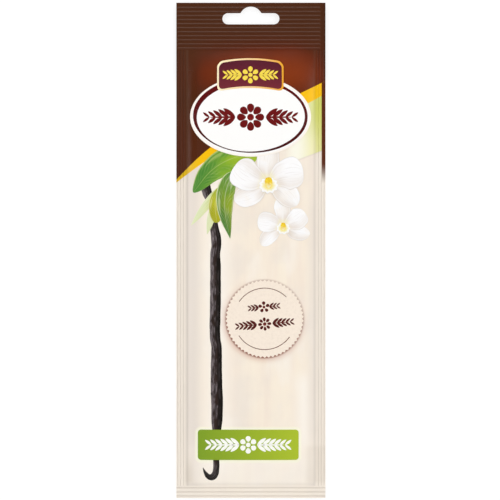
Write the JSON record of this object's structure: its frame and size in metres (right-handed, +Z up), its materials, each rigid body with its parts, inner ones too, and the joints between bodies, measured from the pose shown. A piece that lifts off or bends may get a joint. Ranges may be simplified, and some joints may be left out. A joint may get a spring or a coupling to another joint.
{
  "type": "vanilla pod sachet",
  "caption": "Flat heat-sealed film sachet for one vanilla pod, with a ribbed header, a hang slot and a shallow pouch between ribbed seals.",
  "frame": {"origin": "on the surface that the sachet lies on, under the middle of its outline", "axes": "+Z up out of the printed front, +Y along the length towards the header and its hang slot, +X to the right seen from the front"},
  "size_m": [0.0838, 0.278, 0.0046],
  "materials": {
    "printed_film": "semi-gloss printed film, cream with a dark brown header"
  },
  "bodies": {
    "root": {"sachet": "printed_film"}
  },
  "joints": []
}
